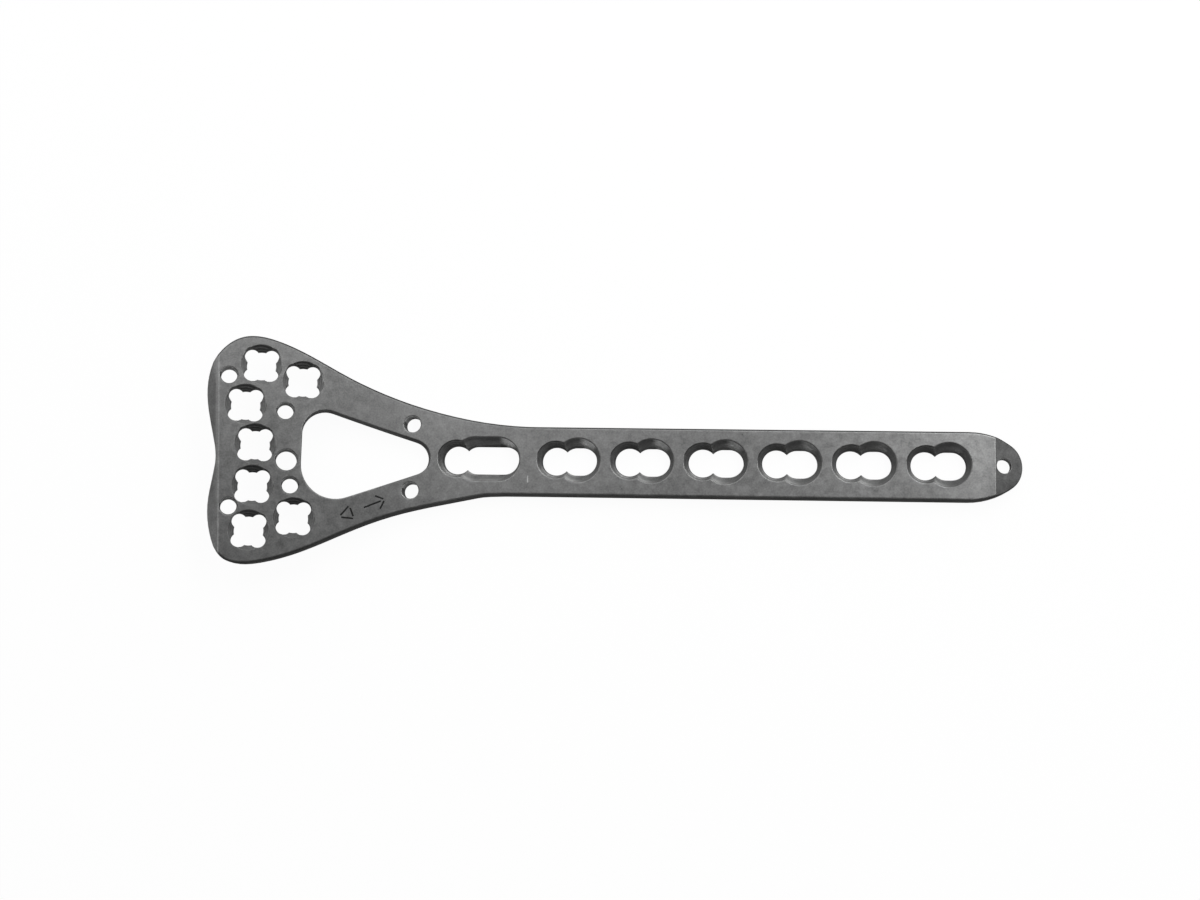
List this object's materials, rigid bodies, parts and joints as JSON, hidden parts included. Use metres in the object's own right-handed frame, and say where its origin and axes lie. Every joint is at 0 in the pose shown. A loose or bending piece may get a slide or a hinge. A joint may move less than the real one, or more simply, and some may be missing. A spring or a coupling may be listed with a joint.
{
  "type": "orthopedic bone plate",
  "caption": "Slim metal bone plate: broad upturned head with lobed locking holes, rounded window in the neck and a straight shaft of combined round and slotted screw holes.",
  "frame": {"origin": "on the bone side of the plate, on the line of the shaft holes, in the web between the window and the first shaft hole", "axes": "+X along the shaft from the head to the tip, +Y across the plate, +Z from the bone side to the screw side"},
  "size_m": [0.0938, 0.0265, 0.0063],
  "materials": {
    "titanium": "satin grey titanium, fine matt grain, slightly darker slopes"
  },
  "bodies": {
    "root": {"bone_plate": "titanium"}
  },
  "joints": []
}
